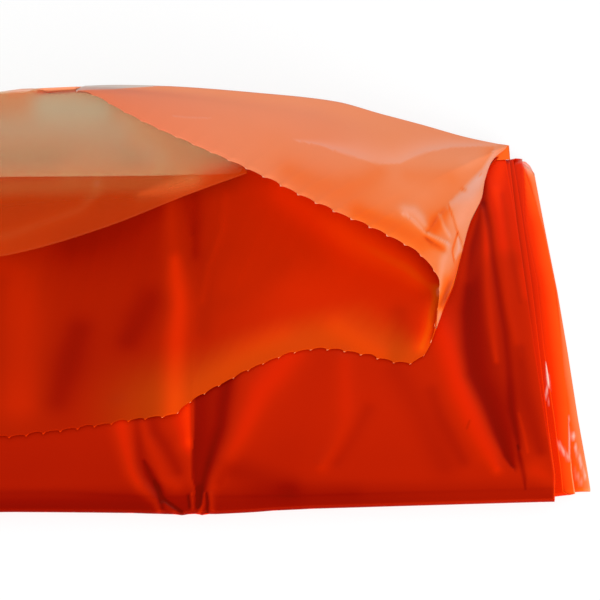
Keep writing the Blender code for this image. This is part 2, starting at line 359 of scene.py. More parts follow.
stack = {
    # how far the right-hand edge of each leaf, lower then upper, stands out in millimetres, from near to far
    "rightEdge": {
        1: ((249.9, 249.5, 248.2, 246.7, 244.9, 242.0, 239.4),
            (249.7, 249.3, 248.0, 246.5, 244.7, 241.8, 239.2)),
        2: ((249.2, 248.8, 247.2, 246.0, 244.2, 241.2, 238.4),
            (249.4, 249.0, 247.4, 246.2, 244.5, 241.5, 238.8)),
        3: ((238.6, 238.7, 240.0, 241.4, 241.8, 238.4, 230.4),
            (239.1, 238.8, 240.8, 242.0, 242.4, 239.0, 230.9)),
        4: ((230.6, 230.6, 230.2, 228.8, 229.8, 226.0, 229.6),
            (231.4, 231.7, 231.4, 230.1, 231.0, 227.2, 230.6)),
        5: ((225.2, 227.3, 226.6, 225.6, 225.8, 224.6, 223.0),
            (224.8, 226.6, 226.4, 226.4, 226.5, 225.4, 223.8)),
        6: ((224.2, 225.9, 224.6, 223.1, 222.2, 221.0, 220.9),
            (224.0, 225.8, 224.6, 223.1, 221.9, 220.4, 218.0)),
    },
    "edgeStations": (0, 0.06, 0.2, 0.4, 0.6, 0.8, 1),
    # the far corner's cut and the near fold's bow, in metres at a given x
    "farCorner": [(0.0, 0.0), (0.2305, 0.0), (0.2365, -0.0048), (0.2378, -0.0086), (0.24, -0.0106)],
    "nearBulge": [(-0.24, -0.0006), (-0.114, -0.0003), (-0.089, 0.0004), (-0.064, 0.0012), (-0.038, 0.0021),
                  (-0.026, 0.0028), (-0.011, 0.0036), (-0.007, 0.0043), (-0.002, 0.0036), (0.003, 0.0036),
                  (0.0055, 0.0046), (0.008, 0.0038), (0.014, 0.0040), (0.025, 0.0037), (0.037, 0.0033),
                  (0.050, 0.0025), (0.075, 0.0018), (0.14, 0.0012), (0.215, 0.0006)],
    "setBack": {1: 0.0050, 3: 0.0025, 5: 0.0},     # lower near folds lie further back
    "cornerBack": {1: 0.0045, 3: 0.0035, 5: 0.0},  # and more so at their right-hand ends
    "cornerZone": (0.200, 0.245),
    # slow waves in each leaf: height, then waves along x and y with their shift for each panel and leaf
    "wave": 0.00018,
    "waves": ((31, 1.7, 1), (43, 2.3, 0.6)),
    "bendZone": 0.01,               # the waves die down this near to a fold
    "bendReach": (0.0004, 0.0010),  # half of the height in which each leaf bends
    "bendRows": 10,
    "flatRows": 60,
    "columns": 150,
    "front": {"flatRows": 130, "columns": 300},
    # tone of the upper panels, and of the lower ones by the distance from their right-hand rim
    "tones": {4: 0.71, 5: 0.68, 6: 0.70},
    "rims": {
        1: ((0, 0.003, 0.007, 0.011, 0.016), (0.975, 0.945, 0.890, 0.835, 0.79)),
        2: ((0, 0.003, 0.007, 0.011, 0.016), (0.975, 0.945, 0.890, 0.835, 0.79)),
        3: ((0, 0.004, 0.009, 0.014), (0.90, 0.86, 0.81, 0.76)),
    },
    "farGlow": (0.10, 0.112, 0.135),     # the lowest panels catch light at the far edge
    # shade beside the edge of the panel above, in the far half; it ends again under that panel
    "edgeShade": (0.15, 0.0030, 0),
    "edgeUnder": (-0.004, -0.001),
    "farHalf": (-0.03, 0.03),
    # light on the rims, all along the upper panels but only at the near end of the lower ones
    "rimLight": (0.16, 0.0010, 0.0003),
    "rimFar": 0.35,
    "rimNear": (0.65, 0.03, -0.06),
    "lowRimNear": (-0.090, -0.105),
    # share of the columns and share of the width that they reach, so that edges and creases are drawn finely
    "spread": [(0, 0), (0.013, 0.0009), (0.040, 0.0044), (0.55, 0.80), (0.960, 0.9956), (0.987, 0.9991),
               (1, 1)],
    "frontSpread": [(0, 0), (0.013, 0.0044), (0.10, 0.367), (0.45, 0.60), (0.62, 0.811), (0.984, 0.9956),
                    (0.994, 0.9991), (1, 1)],
    "frontRowSpread": [(0, 0), (0.6, 0.38), (1, 1)],
}

# painted glints on sharp creases, which also lift them a little, seen on the lower leaves where they stand
# out at the right
creaseGlints = [
    mark([(230.0, -30), (230.2, -38), (230.0, -45)], [0.3, 0.8, 0.6], pale=0.95, lift=0.3),
    mark([(228.8, -47), (227.6, -50), (229.0, -57)], [0.5, 0.5, 0.3], pale=0.7),
    mark([(232.5, -85), (236, -92), (238, -95.5)], [0.9, 0.9, 0.4], pale=0.55, lift=0.5),
    mark([(238, -95.5), (239.6, -82), (241.1, -66)], [0.4, 0.4, 0.2], pale=0.5, lift=0.4),
    mark([(243, -84), (245.5, -96), (247.6, -107)], [0.4, 0.9, 0.4], pale=0.55, lift=0.4),
    mark([(241.2, -75), (243, -79), (245.1, -79.6)], [0.3, 1.0, 0.3], pale=0.85, lift=0.4),
    mark([(241.2, -103), (244, -110)], [0.8, 0.8], pale=0.30),
    mark([(241.2, -26), (243, -26.6)], [0.3, 0.3], pale=0.6),
    mark([(231.5, 132), (236.5, 127)], [2.4, 2.4], pale=0.6),
]

frontTone = {
    "base": 0.455,
    "right": (0.07, -0.03, 0.03),         # right of the middle crease
    "nearPart": (-0.06, -0.05, -0.105),
    "nearFold": (-0.24, -0.106, -0.124),  # where the film turns away from the light
    "nearFoldFade": (0.4, 0.05, 0.2),     # how much of that is lost towards the right
    "deepest": -0.0005,                   # no crease lies deeper than this
}
# creases of the front panel: lift is in millimetres and shapes the film, tone is in shares and paints light
# and shade along the creases
frontCreases = [
    # the crease down the middle, with painted light on its left and painted shade on its right
    mark([(0, 125), (0, -40), (0, -100), (3, -124)], [5, 5, 4, 2], lift=1.1, shape="ridge"),
    mark([(0, -30), (0, -74), (0, -94), (0, -106), (2, -114), (3, -123)], [26, 18, 13, 9, 5, 3], tone=-0.33,
         shape="left"),
    mark([(23, -36), (20, -54), (18, -70), (14, -83), (10, -96), (6, -113), (4, -123)],
         [5, 5, 4.5, 4, 3, 2.5, 2], tone=-0.24, lift=-0.2),
    mark([(0, -30), (0, -66), (0, -80)], [14, 13, 9], tone=0.36, shape="right"),
    mark([(0, -84), (0, -100), (2, -114), (3, -121)], [6, 5, 3, 2], tone=0.10, shape="right"),
    mark([(62, -20), (53, -33), (44, -44), (38, -58), (30, -77), (23, -90), (17, -99), (11, -114),
          (10, -125)],
         [11, 11, 10, 8, 7, 6, 5, 4, 3], tone=0.14, lift=0.7),
    # to the left of it
    mark([(-47, -56), (-46, -67), (-43, -82), (-39, -99), (-33, -111), (-24, -120), (-21, -127)],
         [7, 7, 6, 5, 4, 3, 2], tone=0.22, lift=0.9),
    mark([(-36, -64), (-34, -85), (-33, -93), (-29, -103), (-23, -110)], [3, 3.5, 4, 4, 3], tone=-0.14,
         lift=-0.4),
    mark([(-31, -93), (-27, -101), (-22, -111), (-20, -117), (-19, -125)], [1, 2.6, 3, 2.4, 1.4],
         tone=-0.22, lift=-0.2),
    mark([(-24, -107), (-21, -114), (-20, -121)], [1, 2, 1], tone=-0.16),
    mark([(-33, -68), (-30, -77), (-24, -89), (-18, -105), (-11, -111)], [4, 4, 4.5, 5, 5], tone=0.12,
         lift=0.6),
    mark([(-27, -60), (-24, -73), (-18, -82), (-12, -94), (-9, -101)], [4, 4, 4, 3.5, 3], tone=-0.11),
    # where the near fold is pinched, with painted light and shade on its creases
    mark([(-18.5, -119), (-15, -122), (-11, -125), (-7, -128)], [0.8, 1, 1, 0.8], tone=-0.42, lift=-0.5),
    mark([(-18, -123), (-14, -126), (-11, -128)], [1.8, 1.8, 1.2], tone=0.14, lift=0.5),
    mark([(-3, -117), (-2, -125)], [0.9, 0.9], tone=-0.26),
    mark([(-0.8, -116), (0, -126)], [0.7, 0.9], tone=0.26, lift=0.5),
    mark([(3, -113), (3, -125)], [1.2, 1.2], tone=-0.30, lift=-0.5),
    mark([(7, -116), (6, -124), (4, -129)], [0.8, 1.1, 1.1], tone=0.34, lift=0.8),
    mark([(8.6, -116), (9.2, -123), (8.6, -129)], [0.7, 1.1, 1.0], tone=-0.38, lift=-0.5),
    mark([(11, -117), (12, -127)], [1.6, 1.6], tone=0.10, lift=0.5),
    # broad soft waves to the right of it, with painted light and shade
    mark([(88, -20), (75, -60), (62, -90)], [16, 16, 14], tone=-0.03, lift=0.3),
    mark([(16, -108), (21, -99), (30, -103), (42, -108), (60, -113)], [4, 7, 10, 10, 8], tone=-0.15),
    mark([(60, -113), (100, -117)], [8, 6], tone=-0.05),
    mark([(98, -25), (97, -68), (90, -85), (81, -99)], [7, 7, 6, 4], tone=0.07, lift=0.9),
    mark([(112, -60), (99, -82), (90, -96)], [5, 5, 4], tone=-0.07, lift=-0.3),
    mark([(132, -34), (142, -55), (150, -76), (158, -100)], [9, 10, 10, 9], tone=-0.08),
    # drape at the right: a band of painted light, then wedges of painted shade that end in points
    mark([(158, 16), (161, 0), (166, -16), (170, -40), (173, -53), (180, -76), (186, -92), (190, -103)],
         [9, 9, 9, 8, 8, 8, 7, 4], tone=0.17, lift=1.4),
    mark([(154, -49), (158, -67), (163, -80), (170, -98)], [5, 5, 5, 4], tone=-0.09),
    mark([(176, -71), (174, -76)], [0.7, 0.7], tone=-0.13),
    mark([(214, 124), (207, 108), (199, 84), (193, 56), (184, 34)], [8, 9, 9, 8, 5], tone=0.14),
    mark([(201, 114), (196, 82), (189, 58), (185, 34), (181, 8), (180, -18), (181, -38), (188, -58),
          (193, -79), (197, -95), (200, -102)],
         [2, 7, 10, 14, 18, 20, 19, 17, 13, 7, 3], tone=-0.39, lift=-0.4, shape="left", sharp=3.5),
    mark([(198, 88), (198, 59), (196, 30), (196, 1), (197, -28)], [2.5, 3, 3.5, 3.5, 2], tone=0.20, lift=0.3),
    mark([(200, 94), (202, 74), (202, 49), (204, 10), (205, -6), (205, -29), (204, -63), (206, -90)],
         [1.6, 2, 2.2, 2.6, 2.8, 3, 3, 1.2], tone=-0.22, lift=-0.5),
    mark([(209, 104), (209, 59), (209, 10), (213, -25)], [3, 3, 3, 2], tone=0.05, lift=0.2),
    mark([(213, 100), (214, 84), (215, 49), (217, 15)], [2, 2.4, 2.4, 1.5], tone=-0.06),
    mark([(214, 132), (213, 104), (212, 60)], [10, 10, 8], tone=0.14),
    mark([(220.5, 110), (220.5, 60), (221, 20)], [3, 3.5, 3], tone=0.08),
    mark([(213, -20), (213, -50), (216, -70), (219, -92)], [4, 6, 6, 4], tone=-0.15),
    mark([(208, -66), (210, -81), (211, -93)], [1, 1.4, 1], tone=0.13),
    mark([(205, -88), (206, -99), (207, -109), (207, -118)], [0.8, 1.6, 1.5, 0.4], tone=-0.24, lift=-0.3),
    mark([(221, 40), (223, -30), (224, -80)], [3, 3, 3], tone=0.05),
    mark([(215, -106), (223, -113)], [8, 6], tone=0.12),
    # painted shade along the fold's upper line, by the near edge
    mark([(-225, -111), (-83, -113), (-27, -118), (67, -119), (225, -118)], [2, 2, 1.2, 1, 1], tone=-0.05),
]


def rightEdge(panel, leaf, share):
    edges = stack["rightEdge"][panel][leaf]
    return np.interp(share, stack["edgeStations"], edges) / 1000


# the line of a near fold, from the straight near edge
def nearLine(fold, x):
    back = stack["setBack"][fold] + stack["cornerBack"][fold] * ease(*stack["cornerZone"], x)
    if fold == 5:
        back = back - np.interp(x, *np.transpose(stack["nearBulge"]))
    return nearEdge + back


def farCorner(x):
    return stackEdge(x) + np.interp(x, *np.transpose(stack["farCorner"]))


def leafHeight(panel, leaf):
    return (panel - 1) * pack["pitch"] + pack["base"] + leaf * pack["leafGap"]


# height of the hinge line between a panel and the one below it
def hingeHeight(panel):
    return (panel - 2) * pack["pitch"] + pack["hinge"]


def frontRelief(x, y):
    return np.maximum(strokes(frontCreases, x, y, "lift") / 1000, frontTone["deepest"])


# a leaf: the bend round its fold with the panel below, then its flat, with v from the fold onwards
def leafPlace(panel, leaf, bendRows, flatRows):
    nearFold = panel if panel % 2 else panel - 1
    lowerFoldNear = panel % 2 == 0
    hinge = hingeHeight(panel)
    own = leafHeight(panel, leaf)
    outerBelow = leaf == 1                      # at the fold below, the upper leaf runs round outside
    bendBelow = pack["outerBend"] if outerBelow else pack["innerBend"]
    bendAbove = pack["innerBend"] if outerBelow else pack["outerBend"]
    if panel == 1:
        bendBelow = 0
    rows = bendRows + flatRows
    hasBend = panel > 1

    def place(u, v):
        row = v * rows
        inBend = row < bendRows if hasBend else np.zeros(len(v), bool)
        turn = np.clip(row / max(bendRows, 1), 0, 1) * math.pi - math.pi / 2
        run = np.clip((row - (bendRows if hasBend else 0)) / (rows - (bendRows if hasBend else 0)), 0, 1)
        if panel == 6 and leaf == 1:
            run = np.interp(run, *np.transpose(stack["frontRowSpread"]))
        depthShare = run if lowerFoldNear else 1 - run
        depthShare = np.where(inBend, 0.0 if lowerFoldNear else 1.0, depthShare)
        edge = rightEdge(panel, leaf, depthShare)
        if hasBend:
            below = rightEdge(panel - 1, 1 - leaf, depthShare)
            edge = np.where(inBend, below + (edge - below) * (turn / math.pi + 0.5), edge)
        spread = stack["frontSpread" if panel == 6 and leaf == 1 else "spread"]
        x = edge - pack["width"] * (1 - np.interp(u, *np.transpose(spread)))
        near = nearLine(nearFold, x) + (bendBelow if lowerFoldNear else bendAbove)
        far = stackEdge(x) - (bendAbove if lowerFoldNear else bendBelow)
        if panel == 1:
            far = stackEdge(x)
        cut = farCorner(x) - stackEdge(x)
        if panel < 3:
            far = far + cut
        if panel == 3:
            far = far + np.where(inBend, cut * (0.5 - turn / math.pi), 0)
        y = near + (far - near) * depthShare
        z = np.full(len(u), own)
        if hasBend:
            side = -1 if lowerFoldNear else 1
            y = np.where(inBend, y + side * bendBelow * np.cos(turn), y)
            z = np.where(inBend, hinge + bendBelow * np.sin(turn), z)
        sway = np.ones(len(u))
        for (number, byPanel, byLeaf), way in zip(stack["waves"], (x, y)):
            sway = sway * np.sin(number * way + byPanel * panel + byLeaf * leaf)
        for fold in (near, far):
            sway = sway * (1 - np.exp(-((y - fold) / stack["bendZone"]) ** 2))
        z = z + np.where(inBend, 0, stack["wave"] * sway)
        rim = edge - x
        pale = np.zeros(len(u))
        if panel == 6 and leaf == 1:
            fade = np.where(inBend, np.clip(np.sin(turn), 0, 1), 1)
            z = z + frontRelief(x, y) * fade
            tone = frontTone["base"] + grow(frontTone["right"], x)
            tone = tone + strokes(frontCreases, x, y, "tone") + grow(frontTone["nearPart"], y)
            tone = tone + grow(frontTone["nearFold"], y) * (1 - grow(frontTone["nearFoldFade"], x))
        else:
            tone = stack["tones"][panel] if panel > 3 else np.interp(rim, *stack["rims"][panel])
            if panel < 3:
                tone = tone + grow(stack["farGlow"], y)
            # painted glints on the creases of the lower leaves, with a little real lift
            z = z + np.maximum(strokes(creaseGlints, x, y, "lift"), 0) / 1000 * (panel < 5)
            pale = strokes(creaseGlints, x, y, "pale") * (panel < 5)
        if leaf == 1 and 1 < panel < 6:
            outside = x - rightEdge(panel + 1, 0, depthShare)
            shade = grow(stack["edgeShade"], outside) * ease(*stack["edgeUnder"], outside)
            tone = tone - shade * ease(*stack["farHalf"], y)
        if panel > 3:
            bright = stack["rimFar"] + grow(stack["rimNear"], y)
        else:
            bright = ease(*stack["lowRimNear"], y)
        tone = tone + grow(stack["rimLight"], rim) * bright
        return np.column_stack([x, y, z]), {"tone": tone, "pale": pale}

    return place


for panel in range(1, pack["panels"] + 1):
    for leaf in (0, 1):
        front = panel == 6 and leaf == 1
        grid = stack["front"] if front else stack
        bendRows = stack["bendRows"] if panel > 1 else 0
        name = f"panel_{panel}_{('lower', 'upper')[leaf]}"
        piece = layFilm(name + "_film", grid["columns"], bendRows + grid["flatRows"],
                        leafPlace(panel, leaf, bendRows, grid["flatRows"]), layeredFilm)
        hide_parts(name + "_leaf")
        if panel == 1:
            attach(piece, "panel_1")
        else:
            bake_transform(piece)
print("survival bag: pleated stack laid")


# heat seal across the foot

footSeal = {
    "wide": 0.012,
    "wall": 0.0012,
    "height": 0.0010,
    "ribs": 4,
    "ribHeight": 0.0002,
    "tone": 0.5,
    "outside": (0.5, 0.225, 0.233),  # it is brighter where it stands out from under the stack
    "columns": 200,
    "rows": 24,
}


def sealPlace(u, v):
    x = rightEdge(1, 0, np.ones(len(u))) - pack["width"] * (1 - u)
    y = farCorner(x) - footSeal["wide"] * (1 - v)
    z = footSeal["height"] + footSeal["ribHeight"] * np.cos(v * math.pi * 2 * footSeal["ribs"])
    return np.column_stack([x, y, z]), {"tone": footSeal["tone"] + grow(footSeal["outside"], x)}


seal = layFilm("foot_seal_bar", footSeal["columns"], footSeal["rows"], sealPlace, sealedFilm,
               footSeal["wall"])
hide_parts("foot_seal")
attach(seal, "panel_1")
print("survival bag: foot seal pressed")


# the loose mouth, its curves as in the CAD part: inset from the right, distance forward of the far edge
# and height

mouth = {
    "crest": [
        (0.004, -0.008, 0.002), (0.035, -0.011, 0.011), (0.066, -0.016, 0.021), (0.094, -0.020, 0.030),
        (0.126, -0.025, 0.040), (0.181, -0.025, 0.054), (0.242, -0.027, 0.063), (0.294, -0.029, 0.064),
    ],
    "crestEnd": (0.450, -0.024, 0.068),
    "sideFold": [
        (0.004, -0.008, 0.002), (0.017, 0.006, 0.006), (0.024, 0.023, 0.008), (0.028, 0.039, 0.010),
        (0.038, 0.060, 0.012), (0.045, 0.082, 0.013), (0.053, 0.108, 0.014), (0.065, 0.124, 0.014),
    ],
    "upperLip": [
        (0.294, -0.023, 0.065), (0.256, 0.001, 0.062), (0.187, 0.037, 0.054), (0.143, 0.061, 0.047),
        (0.096, 0.082, 0.036), (0.075, 0.093, 0.028), (0.064, 0.107, 0.021), (0.065, 0.124, 0.014),
    ],
    "lowerLip": [
        (0.065, 0.124, 0.014), (0.069, 0.142, 0.006), (0.076, 0.154, 0.002), (0.087, 0.158, 0.001),
        (0.123, 0.148, 0.001), (0.150, 0.145, 0.001), (0.183, 0.155, 0.001), (0.2175, 0.1733, 0.001),
        (0.2319, 0.1831, 0.001), (0.2372, 0.1884, 0.001), (0.2475, 0.1882, 0.001), (0.2776, 0.1915, 0.001),
        (0.335, 0.197, 0.001), (0.450, 0.203, 0.001),
    ],
    "innerFold": [
        (0.187, 0.036, 0.048), (0.227, 0.046, 0.040), (0.282, 0.065, 0.034), (0.343, 0.080, 0.030),
        (0.450, 0.092, 0.028),
    ],
    # where the upper lip begins on the crest, and its film past the corner that the two lips share
    "lipTip": [(0.3005, -0.0258, 0.0635)],
    "lipBend": [(0.2905, -0.0215, 0.0645)],
    "tongue": [(0.0645, 0.1215, 0.0150), (0.0590, 0.1200, 0.0125), (0.0662, 0.1370, 0.0082)],
    "lipWall": 0.0004,     # shown thickness of a lip
    "tipPitch": 0.0108,    # between two tips of the torn lower edge
    "upperPitch": 0.0130,  # the same on the upper edge, which is stretched
    "notch": 0.0013,       # how far the edge lies back between two tips
    "uneven": (0.4, 2.4),  # how much of that varies, and by which step from one tip to the next
    "tipSpike": 0.0009,
    "spikeWide": 0.0005,
    "perTip": 8,           # columns of the grid for each tip
    "lowerRows": 90,
    "lowerRowSpread": [(0, 0), (0.9, 0.965), (1, 1)],    # finer towards the torn edge
    "sideShare": 0.24,     # the side fold's share of the lower lip's top edge
    "crestShare": 0.68,    # the crest's share of the upper lip's back edge
    "sag": 3.2,
    "lying": 0.0150,       # height of the lower lip where it lies on the front panel
    "inside": 0.0034,      # the lower lip lies this far inside its curves
    "pressed": 0.006,      # the front panel's creases press through it up to about this height
    "deepest": -0.0002,    # no crease of it lies deeper than this
    "endRow": 0.999,       # the last row, which has the tips
    # how far the inner fold's top edge dips, in millimetres, at a given x
    "foldDip": [(-0.230, 0.4), (-0.126, 0.4), (-0.112, -0.7), (-0.104, -0.6), (-0.098, 0.8), (-0.0935, 3.4),
                (-0.0885, 2.2), (-0.080, 1.6), (-0.073, 1.6), (-0.060, 0), (0.3, 0)],
}
crest = mouthCurve(mouth["crest"] + [mouth["crestEnd"]])
sideFold = mouthCurve(mouth["sideFold"])
# the upper lip's film runs a little further, past the corner that the two lips share
upperEdge = mouthCurve(mouth["lipTip"] + mouth["lipBend"] + mouth["upperLip"][1:-1] + mouth["tongue"][:1]
                       + mouth["tongue"][-1:])
lipCrest = mouthCurve(mouth["crest"] + mouth["lipTip"])
rimFold = mouthCurve(mouth["sideFold"][:-1] + mouth["tongue"][1:])
lowerEdge = mouthCurve(mouth["lowerLip"])
innerEdge = mouthCurve(mouth["innerFold"])


def joinedCurves(first, second, split):
    def at(share):
        share = np.asarray(share, float)
        a = first(np.clip(share / split, 0, 1))
        b = second(np.clip((share - split) / (1 - split), 0, 1))
        return np.where((share < split)[:, None], a, b)
    return at


def reversedCurve(curve):
    return lambda share: curve(1 - share)


# how far a torn edge lies back from its tips, which the perforation leaves at even steps
def tornBack(share, tips):
    phase = share * tips % 1
    spike = np.exp(-(np.minimum(phase, 1 - phase) * mouth["tipPitch"] / mouth["spikeWide"]) ** 2)
    amount, step = mouth["uneven"]
    uneven = 1 + amount * np.sin(step * np.floor(share * tips))
    return mouth["notch"] * uneven * np.sin(math.pi * phase) - mouth["tipSpike"] * spike, spike


# film that rises from the stack's far fold to the crest

rising = {
    "gap": (0, -0.0016, -0.0030),  # from the crest to the film's top edge
    "gapOpens": (0.0, 0.08),       # as a share of the crest
    # how much of that gap is lost where the crest's rim shows, and where that begins and ends
    "closed": 0.8,
    "closedZones": ((-0.03, -0.08), (-0.110, -0.102)),
    "footBack": 0.0026,
    "footHeight": 0.0144,
    "belly": 0.10,                 # how far it bulges back, as a share of its height
    "tone": 0.62,
    "rightTone": (-0.42, 0.10, 0.20),
    "dense": (0.0, 0.12),          # clear at the left, where it stands in the air
    # its rim lies double along the crest at the left, so it isn't clear there
    "rimTone": 0.10,
    "rimRows": (0.945, 0.965),
    "rimZones": ((-0.04, -0.065), (-0.104, -0.096)),
    "columns": 220,
    "rows": 40,
}


def risePlace(u, v):
    ridge = crest(u)
    gap = ease(*rising["gapOpens"], u) * (1 - rising["closed"] * within(rising["closedZones"], ridge[:, 0]))
    top = ridge + gap[:, None] * np.array(rising["gap"])
    x = top[:, 0]
    foot = np.column_stack([x, stackEdge(x) - rising["footBack"], np.full(len(x), rising["footHeight"])])
    spots = between(foot, top, v)
    height = np.maximum(spots[:, 2] - pack["stack"], 0)
    spots[:, 1] += rising["belly"] * height * np.sin(math.pi * v)
    rim = ease(*rising["rimRows"], v) * within(rising["rimZones"], x)
    tone = rising["tone"] + grow(rising["rightTone"], x) + rising["rimTone"] * rim
    return spots, {"tone": tone, "dense": np.maximum(ease(*rising["dense"], x), rim)}


rise = layFilm("loose_top_film", rising["columns"], rising["rows"], risePlace, looseFilm)
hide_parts("loose_top_fold")
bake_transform(rise)


# lower lip, from under the side fold and the crest down to the front panel that it lies on

# painted light and shade on the inside of the lower lip, some marks also with real lift
insideMarks = [
    mark([(-130, 48), (-115, 39), (-112, 7), (-111, -50)], [12, 16, 18, 16], tone=0.16),
    mark([(-80, 60), (-64, 66), (-52, 70), (-35, 79), (-24, 83)], [13, 14, 14, 12, 8], tone=-0.12),
    mark([(-75, -1), (-81, -25), (-87, -50)], [10, 12, 10], tone=-0.17),
    mark([(-28, 20), (-35, 6), (-42, -8)], [11, 11, 9], tone=-0.16),
    mark([(-12, 48), (-11, 36), (-9, 15), (-11, -9), (-12, -38), (-13, -62)], [5, 7, 8, 9, 9, 8], tone=0.16,
         lift=0.8),
    mark([(-15, 86), (-13, 55), (-11, 36), (-9, 15), (-11, -9), (-12, -38), (-13, -62)],
         [5, 7, 7, 8, 9, 9, 8], tone=0.14),
    mark([(0, 90), (1, 72), (0, 50)], [12, 9, 5], tone=-0.04, shape="left"),
    # painted light beneath the upper lip's torn edge, where the lip's shadow falls
    mark([(62, 98), (88, 78), (116, 60), (143, 43), (157, 28)], [12, 14, 14, 12, 9], tone=0.20),
    mark([(-4, 92), (-2, 80), (0, 66)], [3, 3, 2], tone=-0.08),
    mark([(3, 92), (3, 72), (2, 52)], [4, 4, 3], tone=-0.10, lift=-0.4),
    mark([(23, 92), (20, 69), (10, 44), (6, 19)], [3, 3, 2.5, 2], tone=0.05, lift=0.4),
    mark([(6, 48), (9, 19), (7, -2)], [8, 8, 6], tone=-0.05),
    mark([(-2, -52), (14, -33), (34, -15), (57, -5)], [10, 11, 10, 9], tone=0.08, lift=0.5),
    mark([(24, 18), (44, 30), (60, 45)], [9, 10, 9], tone=-0.04),
    mark([(85, 32), (110, 35), (138, 34)], [28, 32, 28], tone=0.06),
    mark([(94, 2), (109, -12), (122, -21)], [9, 9, 7], tone=0.10, lift=0.5),
    mark([(136, 8), (135, -12), (131, -24)], [7, 8, 7], tone=-0.10),
    mark([(165, 24), (158, 8), (155, -4), (149, -18)], [5, 6, 6, 5], tone=0.26),
]
insideTone = {
    "base": 0.33,
    "right": (0.27, -0.04, 0.07),
    "nearPart": (0.05, -0.02, -0.06),
    "underFold": (-0.08, 0.02, 0.06),  # in the shade of the inner fold, which ends at the right
    "foldEnd": (0.105, 0.075),
    "tip": 0.55,
    "pale": (0.10, 0.74, 0.95),        # towards the torn edge, but not at the left
    "paleFrom": (-0.08, 0.0),
    "rim": (0.62, 0, 0.25),            # along the crest at the left, where the film lies double
    "rimRows": (0.012, 0.004),
    "rimZones": ((0.0, -0.05), (-0.104, -0.096)),
    "clear": (0.031, 0.043),           # the ground shows through where the lip stands this high
    "clearEnd": (0.025, 0.045),        # at the left
}
lowerTips = round(lowerEdge.length / mouth["tipPitch"])
lowerTop = joinedCurves(reversedCurve(sideFold), crest, mouth["sideShare"])


def lowerLipPlace(u, v):
    start = lowerTop(u)
    end = lowerEdge(u)
    back, spike = tornBack(u, lowerTips)
    span = np.linalg.norm(end - start, axis=1)
    end = end - unit(end - start) * (back * (span > mouth["tipPitch"]))[:, None]
    v = np.interp(v, *np.transpose(mouth["lowerRowSpread"]))
    spots = between(start, end, v)
    top = start[:, 2] - mouth["inside"]
    low = np.maximum(end[:, 2] - mouth["inside"], mouth["lying"])
    z = np.maximum(low + (top - low) * (1 - v) ** mouth["sag"], mouth["lying"])
    x, y = spots[:, 0], spots[:, 1]
    spots[:, 2] = z + frontRelief(x, y) * np.exp(-((z - mouth["lying"]) / mouth["pressed"]) ** 2)
    spots[:, 2] += np.maximum(strokes(insideMarks, x, y, "lift") / 1000, mouth["deepest"])
    tone = insideTone["base"] + grow(insideTone["right"], x)
    tone = tone + grow(insideTone["nearPart"], y) + strokes(insideMarks, x, y, "tone")
    tone = tone + grow(insideTone["underFold"], y) * ease(*insideTone["foldEnd"], x)
    tone = tone + insideTone["tip"] * spike * (v > mouth["endRow"]) * (span > mouth["tipPitch"])
    pale = grow(insideTone["pale"], v) * ease(*insideTone["paleFrom"], x)
    rim = ease(*insideTone["rimRows"], v) * within(insideTone["rimZones"], x)
    clear = ease(*insideTone["clear"], z) * (1 - ease(*insideTone["clearEnd"], x)) * (1 - rim)
    tone = tone + grow(insideTone["rim"], rim)
    return spots, {"tone": tone, "pale": pale, "dense": 1 - clear}


lowerLip = layFilm("mouth_lower_lip_film", lowerTips * mouth["perTip"], mouth["lowerRows"], lowerLipPlace,
                   insideFilm, mouth["lipWall"])
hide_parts("mouth_lower_lip")
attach(lowerLip, "mouth")


# hazy films between the lips

# marks of the inner fold: pale ones are painted sheen, tone ones paint the light and shade on it and behind
# it, dense ones make it less see-through
foldMarks = [
    mark([(-118, 149), (-108, 151), (-99, 149)], [3, 3.5, 2.5], tone=0.05, dense=0.10, pale=-0.2),
    mark([(-96, 141), (-78, 141), (-60, 139)], [10, 11, 9], pale=0.7),
    mark([(-130, 126), (-90, 127), (-50, 124)], [11, 12, 12], pale=0.42, tone=-0.10),
    mark([(-135, 107), (-60, 107), (-30, 108)], [11, 11, 9], pale=0.15, tone=-0.20),
    mark([(-42, 129), (-29, 117), (-20, 106)], [6, 9, 8], tone=0.22, pale=0.15),
    mark([(-79, 99), (-67, 106), (-54, 106)], [9, 10, 9], tone=0.16),
    mark([(-33, 125), (-22, 112), (-15, 102), (-16, 92)], [1.6, 1.6, 1.6, 1.6], tone=-0.10),
    mark([(-140, 88), (-86, 89), (-33, 90), (0, 92)], [8, 8, 8, 8], tone=0.26),
    mark([(-125, 54), (-117, 56), (-92, 65), (-72, 72), (-62, 84), (-62, 93)], [5, 5, 5, 4, 4, 4],
         tone=0.10, lift=0.3),
    mark([(-33, 77), (-16, 80), (0, 87), (16, 95)], [6, 7, 8, 8], tone=0.08),
    mark([(-34, 81), (-16, 84), (0, 87), (16, 91), (34, 93)], [1, 5, 9, 10, 7], dense=0.28),
]
innerFilm = {
    "from": 0.45,       # share of the crest at which it begins, and the share that it takes
    "takes": 0.55,
    "below": (0, 0, -0.0017),
    "dipHeight": 0.4,   # how much lower a dip of its top edge lies
    "sag": 0.004,
    "tone": 0.44,
    "columns": 160,
    "rows": 60,
}


def innerFoldPlace(u, v):
    start = crest(innerFilm["from"] + innerFilm["takes"] * u) + np.array(innerFilm["below"])
    dip = np.interp(start[:, 0], *np.transpose(mouth["foldDip"])) / 1000
    start[:, 1] -= dip
    start[:, 2] -= innerFilm["dipHeight"] * dip
    end = innerEdge(u)
    spots = between(start, end, v)
    spots[:, 2] -= innerFilm["sag"] * np.sin(math.pi * v)
    marks = {key: strokes(foldMarks, spots[:, 0], spots[:, 1], key) for key in ("tone", "pale", "dense")}
    marks["tone"] = marks["tone"] + innerFilm["tone"]
    marks["pale"] = np.clip(marks["pale"], 0, 1)
    return spots, marks


innerFold = layFilm("mouth_inner_fold_film", innerFilm["columns"], innerFilm["rows"], innerFoldPlace,
                    hazeAndSheenFilm)
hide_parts("mouth_inner_fold")
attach(innerFold, "mouth")


# upper lip: rolled over the crest and the side fold, then out to its torn edge

